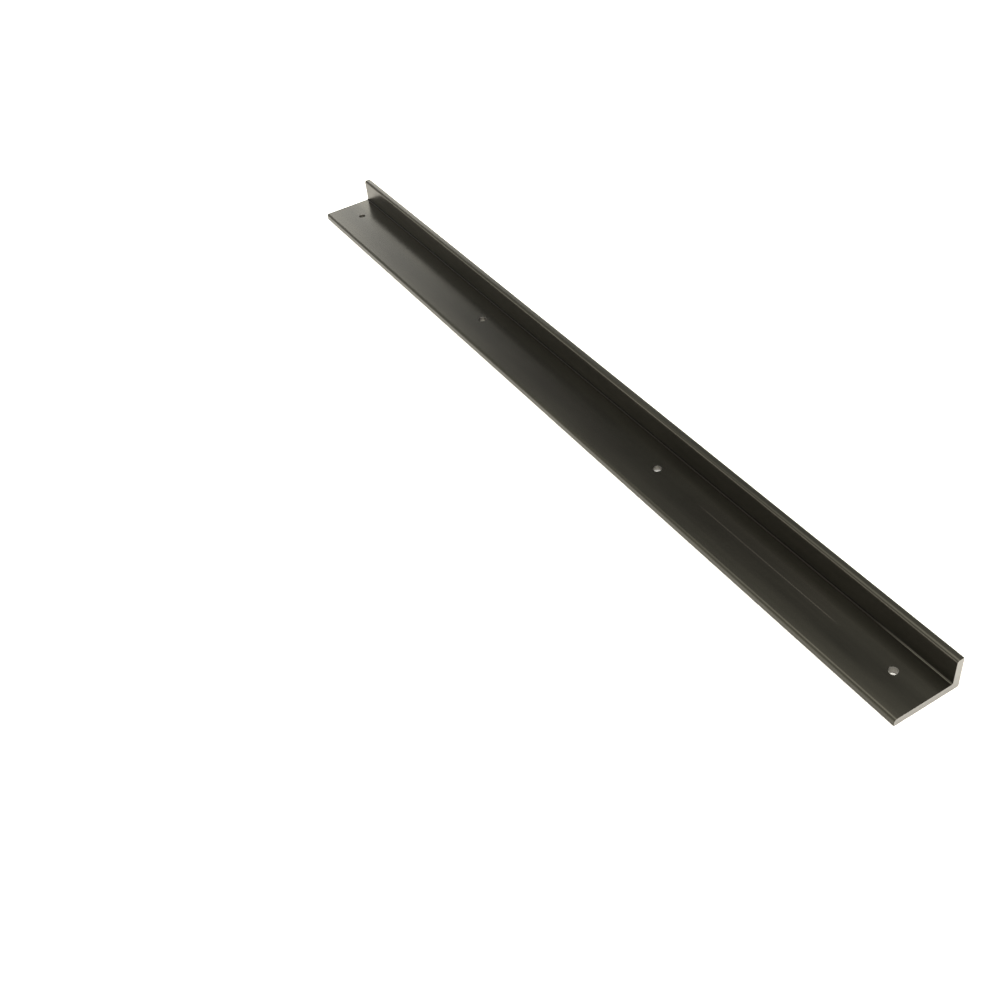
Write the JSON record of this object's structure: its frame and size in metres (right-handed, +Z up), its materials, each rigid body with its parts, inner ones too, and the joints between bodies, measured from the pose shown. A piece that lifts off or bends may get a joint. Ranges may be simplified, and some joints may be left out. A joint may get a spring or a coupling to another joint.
{
  "type": "door sweep",
  "caption": "L-shaped metal door sweep with a row of screw holes through its wide flange and a hollow rubber bulb seal along the outside of its short flange.",
  "frame": {"origin": "middle of the footprint, on the underside of the wide flange", "axes": "+X along the length, +Y from the free edge of the wide flange towards the seal, +Z up out of the wide flange, the way the short flange stands"},
  "size_m": [0.762, 0.0582, 0.0254],
  "materials": {
    "dark_bronze_anodised": "dark bronze anodised all over, satin, with die lines along the length; greyer and duller on the sawn ends and in the drilled holes",
    "grey_foam_tape": "matt grey acrylic foam",
    "black_epdm": "matt black extruded rubber"
  },
  "bodies": {
    "root": {"carrier_angle": "dark_bronze_anodised", "bond_tape": "grey_foam_tape", "seal_strip": "black_epdm"}
  },
  "joints": []
}
